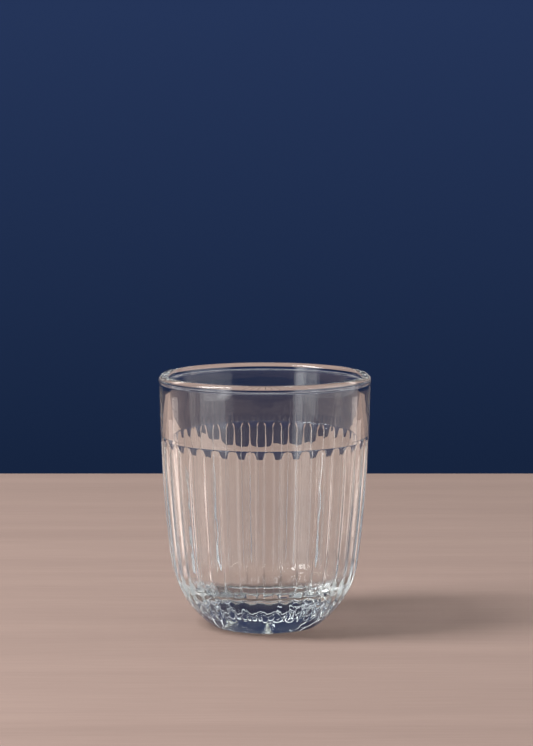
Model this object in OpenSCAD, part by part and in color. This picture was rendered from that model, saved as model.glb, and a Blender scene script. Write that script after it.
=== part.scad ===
// Pressed tea glass, empty and free standing: a rounded rim bead, a smooth collar, a fluted wall,
// a round fluted heel and a heavy base. The five zones meet face to face at level planes.
// Millimetres, +Z up, origin at the middle of the surface that the glass stands on.

/* [Rim and collar] */
// Outside diameter across the rim bead
rim_d = 80; // [76:0.5:86]
// Height from the table to the top of the rim
height = 95.3; // [90:0.1:104]
// Thickness of the rounded rim bead
bead_t = 3.9; // [3.4:0.1:4.4]
// How far the bead stands proud of the collar
bead_proud = 0.3; // [0.1:0.05:0.6]
// Height of the bead, from the neck to its top
bead_h = 4; // [3.6:0.1:6]
// Wall thickness at the neck, just under the bead
neck_t = 3.5; // [3:0.1:4]
// Height from the foot of the collar to the top of the rim
collar_h = 24; // [18:0.5:30]
// How much the collar's radius narrows from the neck to its foot
collar_taper = 0.5; // [0:0.05:1.2]
// Wall thickness at the foot of the collar
collar_t = 4.1; // [3.4:0.1:4.6]

/* [Fluted wall] */
// Step in from the collar to the lands between the flutes
collar_step = 0.15; // [0.05:0.05:0.4]
// Height of the plain lip over the flute tops
lip_h = 0.3; // [0.2:0.1:1.5]
// Height of the sloped shoulder that closes each flute's top
shoulder_h = 2.1; // [1.2:0.1:4]
// Number of flutes round the glass
flute_count = 36; // [24:2:40]
// Angle from +X to the middle of the first flute, in degrees
flute_turn = 7.3; // [0:0.1:10]
// Depth of a flute on the wall
flute_depth = 0.6; // [0.3:0.05:0.8]
// Width of a flute, as a share of its pitch
flute_width_share = 0.5; // [0.4:0.05:0.65]
// Radius of the wall's slight belly, in side view
wall_round = 414; // [300:2:900]
// Wall thickness at the knee, where the wall turns into the heel
knee_t = 4.45; // [3.8:0.05:6]

/* [Heel and base] */
// Height of the knee over the table
knee_h = 25; // [20:0.5:32]
// Radius at the knee, as a share of the radius at the top of the wall
knee_share = 0.908; // [0.87:0.001:0.94]
// Radius of the heel in side view, as a share of the radius at the knee
heel_round_share = 1.03; // [0.95:0.01:1.15]
// Radius of a flute's floor along the heel, as a share of the heel's own radius
run_round_share = 1.04; // [1:0.01:1.8]
// Height over the table at which the flutes end
flute_end_h = 5; // [4:0.1:9]
// Depth of a flute at its lower end
flute_end_depth = 0.1; // [0.05:0.05:0.8]
// Thickness of the heavy base in the middle of the bowl
base_t = 12.6; // [10:0.1:14]
// Radius of the bowl's dished floor, in side view
floor_round = 130; // [90:5:240]
// Radius of the corner inside the bowl, as a share of the bowl's radius at the knee
corner_share = 0.25; // [0.2:0.005:0.6]
// Height of the level plane where the heavy base meets the heel
base_h = 17; // [15.5:0.5:19]
// Radius of the rounded edge that the base stands in
foot_round = 1.8; // [0.8:0.1:2.2]
// Radius of the shallow hollow under the base, as a share of the standing edge's radius
punt_share = 0.9; // [0.6:0.01:0.93]
// Depth of the shallow hollow under the base
punt_depth = 1.8; // [0.4:0.1:2.2]

/* [Hidden] */

// Length by which a cutting shape passes the surface that it cuts
overrun = 1;
// Facets on a full turn
$fn = 240;
glass_tint = [0.78, 0.84, 0.83];

// Rim bead: a full round standing on the neck
rim_r = rim_d / 2;
bead_r = bead_t / 2;
bead_centre = [rim_r - bead_r, height - bead_r];
neck_z = height - bead_h;
neck_r = rim_r - bead_proud;
neck_in_r = neck_r - neck_t;

// Collar: a plain ring that narrows a little towards its foot
collar_foot_z = height - collar_h;
collar_foot_r = neck_r - collar_taper;
collar_in_r = collar_foot_r - collar_t;

// Wall: one long arc from the knee up to the collar, bulging outward
wall_top = [collar_foot_r - collar_step, collar_foot_z];
knee = [wall_top.x * knee_share, knee_h];
wall_chord = wall_top - knee;
wall_side = [-wall_chord.y, wall_chord.x] / norm(wall_chord);
wall_reach = sqrt(pow(wall_round, 2) - pow(norm(wall_chord) / 2, 2));
wall_centre = (wall_top + knee) / 2 + wall_side * wall_reach;

// Heel: an arc that leaves the wall at the knee without a corner
heel_round = knee.x * heel_round_share;
knee_out = (knee - wall_centre) / wall_round;
heel_centre = knee - knee_out * heel_round;
end_tilt = asin((heel_centre.y - flute_end_h) / heel_round);

// Foot edge: a small round that touches the heel and the table
edge_drop = heel_centre.y - foot_round;
edge_x = heel_centre.x + sqrt(pow(heel_round - foot_round, 2) - pow(edge_drop, 2));
edge_top_z = heel_centre.y - edge_drop * heel_round / (heel_round - foot_round);
punt_r = edge_x * punt_share;
punt_round = (pow(punt_r, 2) + pow(punt_depth, 2)) / (2 * punt_depth);

// Bowl: a cone inside the wall, a round corner that touches it, and a wide dished floor
collar_in = [collar_in_r, collar_foot_z];
knee_in = [knee.x - knee_t, knee_h];
bowl_up = (collar_in - knee_in) / norm(collar_in - knee_in);
bowl_inward = [-bowl_up.y, bowl_up.x];
corner_round = knee_in.x * corner_share;
floor_centre = [0, base_t + floor_round];
corner_away = knee_in + bowl_inward * corner_round - floor_centre;
corner_lean = corner_away * bowl_up;
corner_gap = corner_away * corner_away - pow(floor_round - corner_round, 2);
corner_rise = -corner_lean - sqrt(pow(corner_lean, 2) - corner_gap);
corner_centre = knee_in + bowl_inward * corner_round + bowl_up * corner_rise;
bowl_touch = knee_in + bowl_up * corner_rise;
floor_out = (corner_centre - floor_centre) / norm(corner_centre - floor_centre);
floor_edge = floor_centre + floor_out * floor_round;
neck_flare = (neck_in_r - collar_in_r) / (neck_z - collar_foot_z);
mouth_r = neck_in_r + neck_flare * (bead_h + overrun);

// Flutes: grooves with radial sides, of one depth along the wall, whose floors run down the heel
flute_angle = 360 / flute_count * flute_width_share;
lip_z = collar_foot_z - lip_h;
shoulder_reach = (rim_r + overrun - wall_top.x) * shoulder_h / flute_depth;
run_top = knee - knee_out * flute_depth;
run_end = heel_centre + (heel_round - flute_end_depth) * [cos(end_tilt), -sin(end_tilt)];
run_chord = run_top - run_end;
run_round = heel_round * run_round_share;
run_side = [-run_chord.y, run_chord.x] / norm(run_chord);
run_reach = sqrt(pow(run_round, 2) - pow(norm(run_chord) / 2, 2));
run_centre = (run_top + run_end) / 2 + run_side * run_reach;

// A level band of the section, from one height to another, out past the rim
module band(low, high) {
    translate([0, low])
        square([rim_r + overrun, high - low]);
}

// Section of the space inside the glass, from the bowl's floor out through the mouth
module bowl_section() {
    polygon([
        [0, bowl_touch.y],
        bowl_touch,
        collar_in,
        [mouth_r, height + overrun],
        [0, height + overrun]
    ]);
    polygon([[0, floor_edge.y], floor_edge, corner_centre, bowl_touch, [0, bowl_touch.y]]);
    intersection() {
        translate(corner_centre)
            circle(r = corner_round);
        band(floor_edge.y, bowl_touch.y);
    }
    intersection() {
        translate(floor_centre)
            circle(r = floor_round);
        band(0, floor_edge.y);
    }
}

// Section inside the wall's long arc, over the knee
module wall_section() {
    intersection() {
        translate(wall_centre)
            circle(r = wall_round);
        band(knee_h, collar_foot_z);
    }
}

// Section inside the heel's arc, between two heights
module heel_section(low, high) {
    intersection() {
        translate(heel_centre)
            circle(r = heel_round);
        band(low, high);
    }
}

// Section of the base, which stands on a small rounded edge
module base_section() {
    heel_section(edge_top_z, base_h);
    square([edge_x, edge_top_z]);
    intersection() {
        translate([edge_x, foot_round])
            circle(r = foot_round);
        band(0, edge_top_z);
    }
}

// A section turned through one flute's width, once for each flute round the glass
module round_the_glass() {
    for (i = [0 : flute_count - 1])
        rotate([0, 0, flute_turn - flute_angle / 2 + 360 * i / flute_count])
            rotate_extrude(angle = flute_angle)
                children();
}

// The flutes of the wall, each closed at the top by a sloped shoulder
module wall_flutes() {
    round_the_glass()
        difference() {
            polygon([
                [knee_in.x, knee_h - overrun],
                [rim_r + overrun, knee_h - overrun],
                [rim_r + overrun, lip_z + shoulder_reach],
                [wall_top.x - 2 * flute_depth, lip_z - 2 * shoulder_h]
            ]);
            translate(wall_centre)
                circle(r = wall_round - flute_depth);
        }
}

// The flutes of the heel, which end a little over the table
module heel_flutes() {
    round_the_glass()
        difference() {
            band(flute_end_h, knee_h + overrun);
            translate(run_centre)
                circle(r = run_round);
        }
}

module rim_bead() {
    color(glass_tint)
        rotate_extrude() {
            translate(bead_centre)
                circle(r = bead_r);
            polygon([
                [neck_in_r, neck_z],
                [neck_r, neck_z],
                [neck_r, bead_centre.y],
                [neck_in_r, bead_centre.y]
            ]);
        }
}

module smooth_collar() {
    color(glass_tint)
        rotate_extrude()
            polygon([
                [collar_in_r, collar_foot_z],
                [collar_foot_r, collar_foot_z],
                [neck_r, neck_z],
                [neck_in_r, neck_z]
            ]);
}

module fluted_wall() {
    color(glass_tint)
        difference() {
            rotate_extrude()
                difference() {
                    wall_section();
                    bowl_section();
                }
            wall_flutes();
        }
}

module fluted_heel() {
    color(glass_tint)
        difference() {
            rotate_extrude()
                difference() {
                    heel_section(base_h, knee_h);
                    bowl_section();
                }
            heel_flutes();
        }
}

module heavy_base() {
    color(glass_tint)
        difference() {
            rotate_extrude()
                difference() {
                    base_section();
                    bowl_section();
                    translate([0, punt_depth - punt_round])
                        circle(r = punt_round);
                }
            heel_flutes();
        }
}

rim_bead();
smooth_collar();
fluted_wall();
fluted_heel();
heavy_base();
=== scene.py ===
"""Tea glass: one clear pressed tumbler with a fluted wall, standing empty on a plain table."""
import math

import bpy
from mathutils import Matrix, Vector


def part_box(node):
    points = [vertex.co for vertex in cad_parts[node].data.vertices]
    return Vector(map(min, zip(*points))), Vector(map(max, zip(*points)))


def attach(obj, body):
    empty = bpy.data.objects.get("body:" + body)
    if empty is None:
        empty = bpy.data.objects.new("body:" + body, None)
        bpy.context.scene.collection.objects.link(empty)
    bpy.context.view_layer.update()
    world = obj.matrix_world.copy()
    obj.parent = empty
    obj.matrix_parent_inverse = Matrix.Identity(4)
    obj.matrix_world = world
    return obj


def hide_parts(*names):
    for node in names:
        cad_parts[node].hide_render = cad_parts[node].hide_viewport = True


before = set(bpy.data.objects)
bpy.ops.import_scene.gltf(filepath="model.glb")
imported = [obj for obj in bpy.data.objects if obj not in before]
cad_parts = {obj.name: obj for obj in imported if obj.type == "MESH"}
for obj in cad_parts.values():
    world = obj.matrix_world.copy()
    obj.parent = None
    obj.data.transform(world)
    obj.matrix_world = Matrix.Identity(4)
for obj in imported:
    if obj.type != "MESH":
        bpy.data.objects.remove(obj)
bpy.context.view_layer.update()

# Lengths are millimetres until a mesh is made, but the lamps and cards are sized in metres
MM = 0.001

# Heights and widths that the solids give
RIM_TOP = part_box("rim_bead")[1]
RIM_R = RIM_TOP.x / MM
HEIGHT = RIM_TOP.z / MM
NECK_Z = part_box("rim_bead")[0].z / MM
COLLAR_FOOT_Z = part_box("smooth_collar")[0].z / MM
KNEE_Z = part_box("fluted_wall")[0].z / MM

# Rim and collar
BEAD_R = 1.95
BEAD_PROUD = 0.3  # how far the bead stands out from the neck
NECK_T = 3.5
COLLAR_TAPER = 0.5  # how much the collar's radius narrows from the neck to its foot
COLLAR_T = 4.1

# Fluted wall
COLLAR_STEP = 0.15  # step in from the collar to the lands between the flutes
LIP_ROUND = COLLAR_STEP / 3  # round on both corners of that step
LIP_H = 0.3  # plain lip over the flute tops
SHOULDER_H = 2.1  # slope that closes each flute's top
FLUTE_COUNT = 36
FLUTE_TURN = 7.3  # degrees from +X to the middle of the first flute
FLUTE_DEPTH = 0.6
FLUTE_WIDTH_SHARE = 0.5  # width of a flute, of its pitch
FLUTE_SIDE_W = 0.3  # width of a flute's sloped side
FLARE_W = 0.6  # how far each side of a flute widens at its top
FLARE_H = 2.4
RIPPLE_TOP = 20.0  # height under which flutes and lands begin to melt into one wave
RIPPLE_FULL = 11.0  # height under which they are one wave
WALL_ROUND = 414.0  # slight belly of the wall, in side view
KNEE_T = 4.45
EDGE_SOFT = 0.12  # how much is melted off the corners of the flutes

# Heel and base
KNEE_SHARE = 0.908  # radius at the knee, of the radius at the top of the wall
HEEL_ROUND_SHARE = 1.03  # radius of the heel in side view, of the radius at the knee
RUN_ROUND_SHARE = 1.04  # radius of a flute's floor along the heel, of the heel's own
FLUTE_END_H = 5.0
BASE_T = 12.6
FLOOR_ROUND = 130.0  # dished floor of the bowl, in side view
CORNER_SHARE = 0.25  # radius of the bowl's corner, of the bowl's radius at the knee
FOOT_ROUND = 1.8
PUNT_SHARE = 0.9  # radius of the hollow under the base, of the standing edge's radius
PUNT_DEPTH = 1.8
PUNT_EDGE_ROUND = 3.0
WALL_BEND_ROUND = 60.0  # where the inside bends at the foot of the collar

# Mesh steps round one flute, and how far they crowd towards its two edges
FLUTE_STEPS = 24
FLUTE_EDGES = 2
FLUTE_MIDDLE = FLUTE_WIDTH_SHARE / 2  # from a flute's first edge, as a share of the pitch
EDGE_CROWDING = 0.6

# Mesh rings along each stretch of the section
PUNT_RINGS = 8
PUNT_EDGE_RINGS = 4
STANDING_RINGS = 4
FOOT_RINGS = 6
HEEL_RINGS = 100
WALL_RINGS = 30
SHOULDER_RINGS = 18
SHOULDER_SPARE = 1.0  # how far under the shoulder its fine rings begin
LIP_RINGS = 3
COLLAR_RINGS = 8
BEAD_RINGS = 36
BEND_RINGS = 6
BOWL_RINGS = 16
CORNER_RINGS = 30
FLOOR_RINGS = 14
HOLD = 0.12  # how far beside a round one more ring keeps its shading to itself

# Glass: its body, the faint swirls in it, the waves in the skin over the heel, and the worn standing ring
GLASS_IOR = 1.52
BODY_TINT = (0.72, 0.84, 0.80, 1)
BODY_DENSITY = 5
CLEAR = (1, 1, 1, 1)
SWIRL_TINT = (0.97, 0.985, 0.98, 1)
SWIRL_STRETCH = (30, 30, 30)
SWIRL_DETAIL = 1
WAVE_STRETCH = (70, 70, 70)
WAVE_DETAIL = 2
WAVE_H = 0.06
WAVE_LOW = 18
WAVE_FULL = 40
SCUFF_STRETCH = (900, 900, 900)
SCUFF_DETAIL = 3
WEAR_H = 0.2
GLASS_BOUNCES = 32

# Table: two tones of its grain, its broad streaks and fine fibres, and its edges
TABLE_PALE = (0.50, 0.355, 0.305, 1)
TABLE_WARM = (0.44, 0.31, 0.265, 1)
STREAK_STRETCH = (2.5, 45, 1)
FIBRE_STRETCH = (30, 700, 1)
GRAIN_DETAIL = 4
FIBRE_SHARE = 0.4
GRAIN_WARM = 0.35  # grain under this has the warm tone
GRAIN_PALE = 0.65  # grain over this has the pale tone
MATT_LEAST = 0.65
MATT_MOST = 0.8
FIBRE_BUMP = 0.3
FIBRE_H = 0.2
TABLE_SPECULAR = 0.2
TABLE_BACK = 370  # back edge, which shows behind the glass
TABLE_SIDE = 1500
TABLE_DROP = 0.05

# Backdrop: its shades by how far a line of sight rises, from level at 0 to straight up at 1
RISE_LOW = -0.2
RISE_HIGH = 1
NAVY_FOOT = (0.0082, 0.0178, 0.0497, 1)
NAVY = (0.0185, 0.0356, 0.1, 1)
NAVY_DEEP = (0.004, 0.011, 0.04, 1)
NAVY_SOFT = (0.014, 0.032, 0.09, 1)
NAVY_HIGH = (0.02, 0.04, 0.1, 1)
DUSK = (0.08, 0.1, 0.16, 1)
PALE_CEILING = (0.36, 0.37, 0.36, 1)
BACKDROP = {
    -0.15: NAVY_FOOT,
    0.02: NAVY,
    0.1: NAVY_DEEP,
    0.6: NAVY_SOFT,
    0.75: NAVY_HIGH,
    0.86: DUSK,
    0.95: PALE_CEILING,
}
SOFT_LIGHT = (0.4, 0.4, 0.4, 1)
FIRST_BOUNCE = 0.5  # a count of matt bounces under this is none

# Lamps and camera, with angles in degrees
CARD_WARM = (1, 0.86, 0.79)
LOW_CARD_SIDES = (-112.5, 112.5)
STRIP_LIFTS = (9, 18, 27)
CAMERA_PLACE = (0.6, -1000, 212.5)
CAMERA_DIP = 6.667
CAMERA_LENS = 129.19
CAMERA_SENSOR = 36


def tilt(share):
    """Angle in degrees of a slope that rises by a share of its own length."""
    return math.degrees(math.asin(share))


def arc_centre(low, high, radius):
    """Centre of an arc of the section that bulges outward between two points."""
    chord = high - low
    side = Vector((-chord.y, chord.x)).normalized()
    return (low + high) / 2 + side * math.sqrt(radius**2 - (chord.length / 2) ** 2)


def arc(centre, radius, first, last, steps):
    """Points and outward directions along a round, between two angles in degrees from level."""
    points = []
    for i in range(steps + 1):
        angle = math.radians(first + (last - first) * i / steps)
        out = Vector((math.cos(angle), math.sin(angle)))
        points.append((centre + out * radius, out))
    return points


def arc_points(centre, radius, first, last, steps):
    """The points of an arc alone."""
    return [point for point, _ in arc(centre, radius, first, last, steps)]


def fillet(before, corner, after, radius, steps, hold=0):
    """Points of a round that takes off the corner between two straight lines.

    With a hold, one point more on each line keeps the shading of the round to itself.
    """
    back = (before - corner).normalized()
    on = (after - corner).normalized()
    half = back.angle(on) / 2
    reach = radius / math.tan(half)
    centre = corner + (back + on).normalized() * (radius / math.sin(half))
    first = (corner + back * reach - centre).normalized()
    last = (corner + on * reach - centre).normalized()
    points = [centre + first.slerp(last, i / steps) * radius for i in range(steps + 1)]
    if hold:
        points = [corner + back * (reach + hold)] + points + [corner + on * (reach + hold)]
    return points


def between(first, last, steps):
    """Points along a straight line, without its two ends."""
    return [first.lerp(last, i / steps) for i in range(1, steps)]


# Rim, neck and collar
rim_centre = Vector((RIM_R - BEAD_R, HEIGHT - BEAD_R))
neck_out = Vector((RIM_R - BEAD_PROUD, NECK_Z))
neck_in = Vector((neck_out.x - NECK_T, NECK_Z))
collar_out = Vector((neck_out.x - COLLAR_TAPER, COLLAR_FOOT_Z))
collar_in = Vector((collar_out.x - COLLAR_T, COLLAR_FOOT_Z))

# Wall: one long arc that bulges a little, from the knee up to the collar
wall_top = Vector((collar_out.x - COLLAR_STEP, COLLAR_FOOT_Z))
knee = Vector((wall_top.x * KNEE_SHARE, KNEE_Z))
wall_centre = arc_centre(knee, wall_top, WALL_ROUND)

# Heel and foot edge: arcs that leave the wall and reach the table without a corner
heel_round = knee.x * HEEL_ROUND_SHARE
knee_dir = (knee - wall_centre) / WALL_ROUND
heel_centre = knee - knee_dir * heel_round
knee_tilt = tilt(-knee_dir.y)
edge_drop = heel_centre.y - FOOT_ROUND
edge_x = heel_centre.x + math.sqrt((heel_round - FOOT_ROUND) ** 2 - edge_drop**2)
edge_tilt = tilt(edge_drop / (heel_round - FOOT_ROUND))
punt_r = edge_x * PUNT_SHARE
punt_round = (punt_r**2 + PUNT_DEPTH**2) / (2 * PUNT_DEPTH)
punt_tilt = tilt(punt_r / punt_round)

# Bowl: a cone inside the wall, a round corner and a wide dished floor
knee_in = Vector((knee.x - KNEE_T, KNEE_Z))
corner_round = knee_in.x * CORNER_SHARE
bowl_up = (collar_in - knee_in).normalized()
bowl_inward = Vector((-bowl_up.y, bowl_up.x))
floor_centre = Vector((0, BASE_T + FLOOR_ROUND))
corner_start = knee_in + bowl_inward * corner_round
corner_away = corner_start - floor_centre
corner_lean = corner_away.dot(bowl_up)
corner_gap = corner_away.length_squared - (FLOOR_ROUND - corner_round) ** 2
corner_centre = corner_start - bowl_up * (corner_lean + math.sqrt(corner_lean**2 - corner_gap))
bowl_tilt = math.degrees(math.atan2(-bowl_inward.y, -bowl_inward.x))
floor_side = corner_centre - floor_centre
floor_tilt = math.degrees(math.atan2(floor_side.y, floor_side.x))

# Flutes: grooves of one depth along the wall, whose floors rise to the surface low on the heel
run_top = knee - knee_dir * FLUTE_DEPTH
end_angle = math.asin((heel_centre.y - FLUTE_END_H) / heel_round)
run_end = heel_centre + Vector((math.cos(end_angle), -math.sin(end_angle))) * heel_round
run_round = heel_round * RUN_ROUND_SHARE
run_centre = arc_centre(run_end, run_top, run_round)
half_flute = math.pi / FLUTE_COUNT * FLUTE_WIDTH_SHARE
lip_z = COLLAR_FOOT_Z - LIP_H


def soft_least(one, other):
    """The smaller of two depths, with the corner between them melted round."""
    return (one + other - math.hypot(one - other, 2 * EDGE_SOFT)) / 2


def heel_flute_depth(out):
    """Depth of a flute's floor under the heel, in one direction from the heel's centre."""
    away = heel_centre - run_centre
    lean = away.dot(out)
    return heel_round + lean - math.sqrt(lean**2 - away.length_squared + run_round**2)


def flute_cut(depth, ripple, from_top, half, aside):
    """Depth of a flute beside its middle line, under its sloped top, where it flares a little.

    With ripple 0 it has a flat floor and a flat land beside it, as at the top of the wall. With 1
    flutes and lands are one soft wave, as on the heel.
    """
    flare = FLARE_W * max(1 - from_top / FLARE_H, 0) ** 2
    flat = soft_least(depth, (half + flare - abs(aside)) * FLUTE_DEPTH / FLUTE_SIDE_W)
    flat = -soft_least(-soft_least(flat, from_top * FLUTE_DEPTH / SHOULDER_H), 0)
    wave = depth * (1 + math.cos(math.pi * aside / (2 * half))) / 2
    return flat + (wave - flat) * ripple


def ripple_at(height):
    """How far flutes and lands are one wave at a height, from 0 to 1, eased at both ends."""
    share = min(max((height - RIPPLE_TOP) / (RIPPLE_FULL - RIPPLE_TOP), 0), 1)
    return share * share * (3 - 2 * share)


def glass_rings():
    """Section of the glass from under its middle, up the outside, over the rim and down the inside.

    Each row is a point, its outward direction, and in the flutes their depth, how far they ripple, and
    the distance from their top.
    """
    plain = Vector((0, 0))
    rows = []

    def add(points):
        rows.extend((point, plain, None) for point in points)

    # Hollow under the base, standing ring and foot edge
    punt_centre = Vector((0, PUNT_DEPTH - punt_round))
    punt = arc_points(punt_centre, punt_round, 90, 90 - punt_tilt, PUNT_RINGS)
    edge_low = Vector((edge_x, 0))
    standing = fillet(punt[-2], punt[-1], edge_low, PUNT_EDGE_ROUND, PUNT_EDGE_RINGS, HOLD)
    foot_centre = Vector((edge_x, FOOT_ROUND))
    add(punt[:-1])
    add(standing)
    add(between(standing[-1], edge_low, STANDING_RINGS))
    add(arc_points(foot_centre, FOOT_ROUND, -90, -edge_tilt, FOOT_RINGS))

    # Heel, which lies far under the flutes' tops
    heel = arc(heel_centre, heel_round, -edge_tilt, -knee_tilt, HEEL_RINGS)
    for point, out in heel[1:-1]:
        rows.append((point, out, (max(heel_flute_depth(out), 0), ripple_at(point.y), HEIGHT)))

    # Wall, with finer rings over the shoulder
    lip_drop = wall_centre.y - lip_z
    lip_tilt = tilt(lip_drop / WALL_ROUND)
    shoulder_tilt = tilt((lip_drop + SHOULDER_H + SHOULDER_SPARE) / WALL_ROUND)
    wall = arc(wall_centre, WALL_ROUND, -knee_tilt, -shoulder_tilt, WALL_RINGS)
    wall += arc(wall_centre, WALL_ROUND, -shoulder_tilt, -lip_tilt, SHOULDER_RINGS)[1:]
    for point, out in wall:
        rows.append((point, out, (FLUTE_DEPTH, ripple_at(point.y), lip_z - point.y)))

    # Lip over the flutes, and the collar up to the neck
    lip = fillet(wall[-1][0], wall_top, collar_out, LIP_ROUND, LIP_RINGS, HOLD)[:-1]
    lip += fillet(wall_top, collar_out, neck_out, LIP_ROUND, LIP_RINGS, HOLD)[1:]
    add(lip)
    add(between(lip[-1], neck_out, COLLAR_RINGS))

    # Rim bead, from the crease under it outside to the neck inside
    crease_drop = math.sqrt(BEAD_R**2 - (neck_out.x - rim_centre.x) ** 2)
    crease = Vector((neck_out.x, rim_centre.y - crease_drop))
    hold_turn = math.degrees(HOLD / BEAD_R)
    inner_turn = math.degrees(math.acos((rim_centre.x - neck_in.x) / BEAD_R))
    bead_first = hold_turn - tilt(crease_drop / BEAD_R)
    bead_last = 180 + inner_turn - hold_turn
    add([neck_out, crease - Vector((0, 2 * HOLD)), crease - Vector((0, HOLD))])
    add(arc_points(rim_centre, BEAD_R, bead_first, bead_last, BEAD_RINGS))
    add([neck_in])

    # Inside of the collar, cone, corner and floor of the bowl
    corner = arc_points(corner_centre, corner_round, bowl_tilt, floor_tilt, CORNER_RINGS)
    bend = fillet(neck_in, collar_in, corner[0], WALL_BEND_ROUND, BEND_RINGS)
    add(between(neck_in, collar_in, COLLAR_RINGS)[:-1])
    add(bend)
    add(between(bend[-1], corner[0], BOWL_RINGS))
    add(corner)
    add(arc_points(floor_centre, FLOOR_ROUND, floor_tilt, -90, FLOOR_RINGS)[1:])
    return rows


def glass_mesh():
    """The whole glass as one closed skin, turned round its axis with the flutes pressed in."""
    rows = glass_rings()
    steps = FLUTE_COUNT * FLUTE_STEPS
    pitch = 2 * math.pi / FLUTE_COUNT
    edge_rate = FLUTE_EDGES * 2 * math.pi
    turns = []
    for j in range(steps):
        share = (j % FLUTE_STEPS) / FLUTE_STEPS
        crowded = share - EDGE_CROWDING * math.sin(edge_rate * share) / edge_rate
        off_middle = crowded - FLUTE_MIDDLE
        aside = (off_middle - round(off_middle)) * pitch
        angle = math.radians(FLUTE_TURN) + (j // FLUTE_STEPS + off_middle) * pitch
        turns.append((math.cos(angle), math.sin(angle), aside))

    points = [(0, 0, rows[0][0].y * MM)]
    for section, out, flute in rows[1:-1]:
        for across, along, aside in turns:
            cut = flute_cut(*flute, section.x * half_flute, section.x * aside) if flute else 0
            radius = (section.x - out.x * cut) * MM
            points.append((radius * across, radius * along, (section.y - out.y * cut) * MM))
    points.append((0, 0, rows[-1][0].y * MM))

    rings = len(rows) - 2
    last = 1 + (rings - 1) * steps
    faces = []
    for j in range(steps):
        k = (j + 1) % steps
        faces.append((0, 1 + k, 1 + j))
        faces.append((len(points) - 1, last + j, last + k))
        for i in range(rings - 1):
            low = 1 + i * steps
            faces.append((low + j, low + k, low + steps + k, low + steps + j))
    mesh = bpy.data.meshes.new("pressed_glass")
    mesh.from_pydata(points, [], faces)
    mesh.shade_smooth()
    return mesh


def table_mesh():
    """A flat sheet just under the glass, whose back edge lies behind it."""
    side = TABLE_SIDE * MM
    back = TABLE_BACK * MM
    level = -TABLE_DROP * MM
    corners = [(-side, -side, level), (side, -side, level), (side, back, level), (-side, back, level)]
    mesh = bpy.data.meshes.new("table")
    mesh.from_pydata(corners, [], [(0, 1, 2, 3)])
    return mesh


def fill(tree, made, inputs):
    """Gives a node its inputs: another node's output is linked, and a plain value goes on the socket."""
    for name, value in inputs.items():
        if isinstance(value, bpy.types.NodeSocket):
            tree.links.new(value, made.inputs[name])
        else:
            made.inputs[name].default_value = value


def node(tree, kind, inputs=None, **settings):
    """A shader node with its settings and its inputs."""
    made = tree.nodes.new(kind)
    for name, value in settings.items():
        setattr(made, name, value)
    fill(tree, made, inputs or {})
    return made


def combine(tree, operation, one, other):
    """Two values brought together by one operation."""
    return node(tree, "ShaderNodeMath", {0: one, 1: other}, operation=operation).outputs["Value"]


def span(tree, value, ends):
    """A value carried from one range to another; an end that isn't given is 0 or 1."""
    return node(tree, "ShaderNodeMapRange", {"Value": value, **ends}).outputs["Result"]


def shade_between(tree, share, first, last):
    """A colour that goes from the first to the last as its share goes from 0 to 1."""
    inputs = {"Factor": share, "A": first, "B": last}
    return node(tree, "ShaderNodeMix", inputs, data_type="RGBA").outputs["Result"]


def mottle_group():
    """Node group for an uneven mask: noise by the place of each point, stretched along each axis."""
    group = bpy.data.node_groups.new("mottle", "ShaderNodeTree")
    group.interface.new_socket("Place", in_out="INPUT", socket_type="NodeSocketVector")
    group.interface.new_socket("Stretch", in_out="INPUT", socket_type="NodeSocketVector")
    group.interface.new_socket("Detail", in_out="INPUT", socket_type="NodeSocketFloat")
    group.interface.new_socket("Mask", in_out="OUTPUT", socket_type="NodeSocketFloat")
    given = node(group, "NodeGroupInput").outputs
    along = node(group, "ShaderNodeMapping", {"Vector": given["Place"], "Scale": given["Stretch"]})
    noise_inputs = {"Vector": along.outputs["Vector"], "Scale": 1, "Detail": given["Detail"]}
    noise = node(group, "ShaderNodeTexNoise", noise_inputs)
    node(group, "NodeGroupOutput", {"Mask": noise.outputs["Fac"]})
    return group


MOTTLE = mottle_group()


def mottle(tree, place, stretch, detail):
    """The mask of the mottle group, placed in a finish with its own values."""
    inputs = {"Place": place, "Stretch": stretch, "Detail": detail}
    return node(tree, "ShaderNodeGroup", inputs, node_tree=MOTTLE).outputs["Mask"]


def new_finish(name):
    """A material with its node tree, its shader and the place of each point on the piece."""
    material = bpy.data.materials.new(name)
    material.use_nodes = True
    tree = material.node_tree
    place = node(tree, "ShaderNodeTexCoord").outputs["Object"]
    return material, tree, tree.nodes["Principled BSDF"], place


def clear_glass():
    """Clear pressed glass: a faint grey-green body, a slightly wavy skin and a worn standing ring."""
    material, tree, skin, place = new_finish("clear_glass")
    height = node(tree, "ShaderNodeSeparateXYZ", {"Vector": place}).outputs["Z"]

    swirls = mottle(tree, place, SWIRL_STRETCH, SWIRL_DETAIL)
    tint = shade_between(tree, swirls, CLEAR, SWIRL_TINT)

    scuffs = mottle(tree, place, SCUFF_STRETCH, SCUFF_DETAIL)
    standing_ring = span(tree, height, {"From Min": WEAR_H * MM, "From Max": 0})
    worn = combine(tree, "MULTIPLY", standing_ring, scuffs)

    waves = mottle(tree, place, WAVE_STRETCH, WAVE_DETAIL)
    over_heel = span(tree, height, {"From Min": WAVE_LOW * MM, "From Max": WAVE_FULL * MM})
    wavy = combine(tree, "MULTIPLY", waves, over_heel)
    bump = node(tree, "ShaderNodeBump", {"Strength": 1, "Distance": WAVE_H * MM, "Height": wavy})

    fill(tree, skin, {
        "Base Color": tint,
        "Roughness": worn,
        "IOR": GLASS_IOR,
        "Transmission Weight": 1,
        "Normal": bump.outputs["Normal"],
    })
    body = node(tree, "ShaderNodeVolumeAbsorption", {"Color": BODY_TINT, "Density": BODY_DENSITY})
    fill(tree, tree.nodes["Material Output"], {"Volume": body.outputs["Volume"]})
    return material


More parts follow.
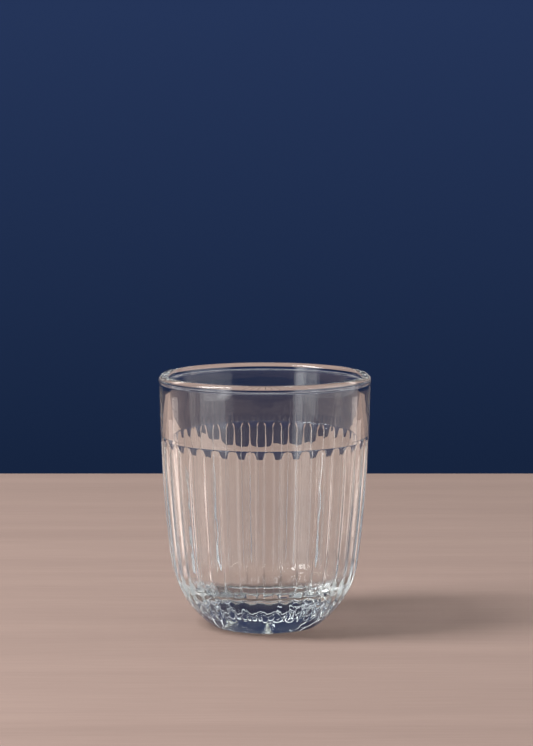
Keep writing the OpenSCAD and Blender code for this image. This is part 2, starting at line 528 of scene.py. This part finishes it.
def pale_table():
    """Pale table, matt, with a faint grain along its length."""
    material, tree, skin, place = new_finish("pale_table")
    streaks = mottle(tree, place, STREAK_STRETCH, GRAIN_DETAIL)
    fibres = mottle(tree, place, FIBRE_STRETCH, GRAIN_DETAIL)
    grain_inputs = {"Factor": FIBRE_SHARE, "A": streaks, "B": fibres}
    grain = node(tree, "ShaderNodeMix", grain_inputs, data_type="FLOAT").outputs["Result"]
    tone = span(tree, grain, {"From Min": GRAIN_WARM, "From Max": GRAIN_PALE})
    bump_inputs = {"Strength": FIBRE_BUMP, "Distance": FIBRE_H * MM, "Height": fibres}
    bump = node(tree, "ShaderNodeBump", bump_inputs)

    fill(tree, skin, {
        "Base Color": shade_between(tree, tone, TABLE_WARM, TABLE_PALE),
        "Roughness": span(tree, grain, {"To Min": MATT_LEAST, "To Max": MATT_MOST}),
        "Specular IOR Level": TABLE_SPECULAR,
        "Normal": bump.outputs["Normal"],
    })
    return material


def add_piece(name, mesh, material):
    """An object of one mesh and one material, put in the scene."""
    mesh.materials.append(material)
    piece = bpy.data.objects.new(name, mesh)
    bpy.context.scene.collection.objects.link(piece)
    return piece


def navy_room():
    """World that is a dark blue backdrop where it is seen, straight on or in the glass.

    For everything else it is soft pale light.
    """
    world = bpy.data.worlds.new("navy_room")
    world.use_nodes = True
    tree = world.node_tree

    sight = node(tree, "ShaderNodeTexCoord").outputs["Generated"]
    rise = node(tree, "ShaderNodeSeparateXYZ", {"Vector": sight}).outputs["Z"]
    level = span(tree, rise, {"From Min": RISE_LOW, "From Max": RISE_HIGH})
    room = node(tree, "ShaderNodeValToRGB", {"Fac": level})
    stops = room.color_ramp.elements
    stops.remove(stops[1])
    stops[0].color = NAVY_FOOT
    for shade_rise, shade in BACKDROP.items():
        stops.new((shade_rise - RISE_LOW) / (RISE_HIGH - RISE_LOW)).color = shade

    path = node(tree, "ShaderNodeLightPath").outputs
    seen = combine(tree, "MAXIMUM", path["Is Camera Ray"], path["Is Glossy Ray"])
    seen = combine(tree, "MAXIMUM", seen, path["Is Transmission Ray"])
    direct = combine(tree, "LESS_THAN", path["Diffuse Depth"], FIRST_BOUNCE)
    shown = combine(tree, "MULTIPLY", seen, direct)
    light = shade_between(tree, shown, SOFT_LIGHT, room.outputs["Color"])
    fill(tree, tree.nodes["Background"], {"Color": light})
    return world


def softbox(name, azimuth, elevation, distance, width, height, glow):
    """A flat lamp panel that faces the glass; azimuth is counted from the viewer's side to the right."""
    lamp = bpy.data.lights.new(name, "AREA")
    lamp.shape = "RECTANGLE"
    lamp.size = width
    lamp.size_y = height
    lamp.energy = glow * math.pi * width * height
    panel = bpy.data.objects.new(name, lamp)
    turn = math.radians(azimuth)
    lift = math.radians(elevation)
    away = Vector((math.cos(lift) * math.sin(turn), -math.cos(lift) * math.cos(turn), math.sin(lift)))
    middle = Vector((0, 0, HEIGHT / 2 * MM))
    panel.location = middle + away * distance
    panel.rotation_euler = away.to_track_quat("Z", "Y").to_euler()
    bpy.context.scene.collection.objects.link(panel)
    return panel


def show_only_in_glass(panel):
    """Leaves a panel out of the plain view and of the light on the table."""
    panel.visible_camera = False
    panel.visible_diffuse = False


def card(name, azimuth, distance, width, height, glow):
    """A bright card that stands on the table beside the glass and shows only in its surface."""
    panel = softbox(name, azimuth, 0, distance, width, height, glow)
    panel.location.z = height / 2
    show_only_in_glass(panel)
    return panel


glass = add_piece("tea_glass", glass_mesh(), clear_glass())
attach(glass, "root")
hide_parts("rim_bead", "smooth_collar", "fluted_wall", "fluted_heel", "heavy_base")

table = add_piece("table", table_mesh(), pale_table())

bpy.context.scene.world = navy_room()

softbox("key_softbox", azimuth=-75, elevation=48, distance=1.2, width=0.35, height=0.8, glow=13.5)
softbox("right_fill", azimuth=75, elevation=25, distance=1.2, width=1.0, height=0.8, glow=0.6)
card("left_card", azimuth=-56, distance=0.38, width=0.2, height=0.4, glow=1.2)
card("tall_card", azimuth=-44, distance=0.6, width=0.14, height=0.6, glow=1.6)
card("right_card", azimuth=80, distance=0.45, width=0.7, height=0.35, glow=0.6)

# Low cards close beside the glass, which draw the upright bright lines on its flutes
for side in LOW_CARD_SIDES:
    low_card = card("low_card", azimuth=side, distance=0.15, width=0.03, height=0.06, glow=1.0)
    low_card.data.color = CARD_WARM

# Long level strips behind the glass, which draw the scalloped bright lines in its fluted heel
for lift in STRIP_LIFTS:
    strip = softbox(
        "back_strip", azimuth=180, elevation=lift, distance=0.8, width=1.8, height=0.012, glow=1.6
    )
    show_only_in_glass(strip)

# Camera about a metre off, higher than the rim and looking a little down
camera_data = bpy.data.cameras.new("camera")
camera_data.sensor_fit = "VERTICAL"
camera_data.sensor_height = CAMERA_SENSOR
camera_data.lens = CAMERA_LENS
camera = bpy.data.objects.new("camera", camera_data)
camera.location = [length * MM for length in CAMERA_PLACE]
camera.rotation_euler = (math.radians(90 - CAMERA_DIP), 0, 0)
bpy.context.scene.collection.objects.link(camera)
bpy.context.scene.camera = camera
bpy.context.scene.view_settings.view_transform = "Standard"

# Clear glass hands light on through many inner reflections
light_paths = bpy.context.scene.cycles
light_paths.max_bounces = GLASS_BOUNCES
light_paths.glossy_bounces = GLASS_BOUNCES
light_paths.transmission_bounces = GLASS_BOUNCES
